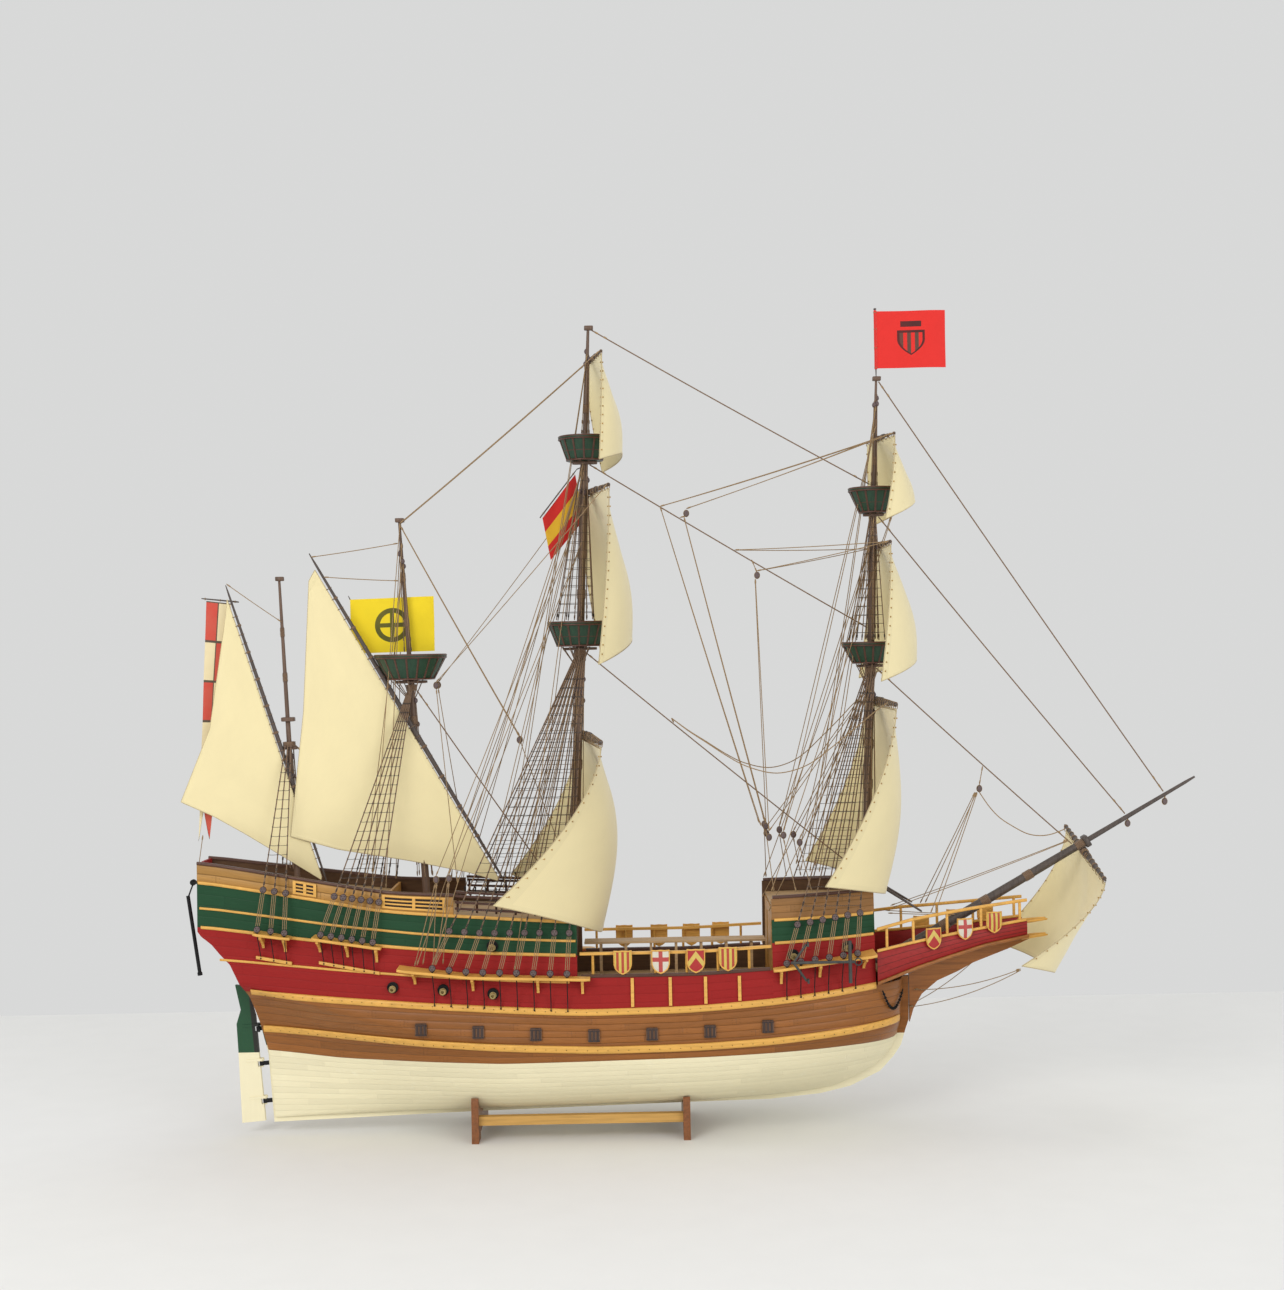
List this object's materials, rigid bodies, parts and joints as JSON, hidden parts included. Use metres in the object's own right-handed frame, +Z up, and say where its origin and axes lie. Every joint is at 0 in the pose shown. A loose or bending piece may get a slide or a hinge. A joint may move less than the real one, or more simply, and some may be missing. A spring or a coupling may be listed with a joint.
{
  "type": "model sailing ship",
  "caption": "Wooden display model of a galleon with set square and lateen sails, full rigging, hung rudder and cradle stand.",
  "frame": {"origin": "on the surface the cradle stands on, under the middle of the object's length and breadth", "axes": "+X towards the bow along the keel, +Y to port, +Z up"},
  "size_m": [0.8099, 0.1988, 0.6506],
  "materials": {
    "cradle_wood": "varnished",
    "rail_wood": "bare sanded",
    "bottom_paint": "matte cream paint",
    "mahogany": "oiled",
    "red_paint": "satin paint",
    "green_paint": "satin paint",
    "oak": "oiled",
    "ochre_paint": "satin paint",
    "deck_wood": "oiled",
    "dark_rail": "varnished",
    "shield_paint": "painted",
    "spar_wood": "dark stain",
    "dark_block": "stained",
    "tan_cord": "twisted",
    "brown_cord": "twisted",
    "dark_cord": "fine twisted",
    "sailcloth": "woven matte",
    "yellow_flag": "printed cloth",
    "red_flag": "printed cloth",
    "gun_metal": "darkened",
    "black_iron": "blackened"
  },
  "bodies": {
    "cradle": {"cradle_post_aft": "cradle_wood", "cradle_post_fore": "cradle_wood", "cradle_rails": "rail_wood"},
    "ship": {"keel_spine": "bottom_paint", "half_frames": "oak", "hull_bottom": "bottom_paint", "wale_planking": "mahogany", "red_planking": "red_paint", "green_planking": "green_paint", "top_planking": "oak", "forecastle_planking": "oak", "transom": "red_paint", "wales": "ochre_paint", "mouldings": "ochre_paint", "decks": "deck_wood", "cabin_bulkheads": "oak", "waist_rails": "ochre_paint", "quarter_rails": "dark_rail", "gangway": "deck_wood", "shields": "shield_paint", "head_knee": "mahogany", "head_sides": "red_paint", "head_grating": "deck_wood", "channels": "ochre_paint", "deadeyes": "dark_block", "lanyards": "tan_cord", "guns": "gun_metal", "port_lids": "black_iron", "gudgeons": "black_iron", "main_mast": "spar_wood", "fore_mast": "spar_wood", "mizzen_mast": "spar_wood", "bonaventure_mast": "spar_wood", "bowsprit": "spar_wood", "tops": "green_paint", "square_yards": "spar_wood", "lateen_yards": "spar_wood", "main_course": "sailcloth", "main_topsail": "sailcloth", "main_topgallant": "sailcloth", "fore_course": "sailcloth", "fore_topsail": "sailcloth", "fore_topgallant": "sailcloth", "spritsail": "sailcloth", "mizzen_sail": "sailcloth", "bonaventure_sail": "sailcloth", "shrouds": "brown_cord", "ratlines": "dark_cord", "stays": "brown_cord", "braces": "tan_cord", "blocks": "dark_block", "anchors": "black_iron", "flags": "yellow_flag", "flag_staffs": "spar_wood", "fore_brace_starboard": "tan_cord", "fore_brace_port": "tan_cord", "spritsail_line": "tan_cord"},
    "rudder": {"rudder": "bottom_paint"},
    "outligger": {"outligger": "black_iron"},
    "fore_flag": {"fore_flag": "red_flag"}
  },
  "joints": [
    {"name": "ship_lift", "type": "slide", "parent": "cradle", "child": "ship", "axis": [0, 0, 1], "range_m": [0, 0.06]},
    {"name": "rudder_hinge", "type": "hinge", "parent": "ship", "child": "rudder", "pos_m": [-0.3417, 0, 0.011], "axis": [-0.0774, 0, 0.997], "range_deg": [-35, 35]},
    {"name": "outligger_swing", "type": "hinge", "parent": "ship", "child": "outligger", "pos_m": [-0.3957, -0.008, 0.203], "axis": [0, 1, 0], "range_deg": [-6, 30]},
    {"name": "flag_swivel", "type": "hinge", "parent": "ship", "child": "fore_flag", "pos_m": [0.15625, 0, 0.602], "axis": [0, 0, 1], "continuous": true}
  ]
}
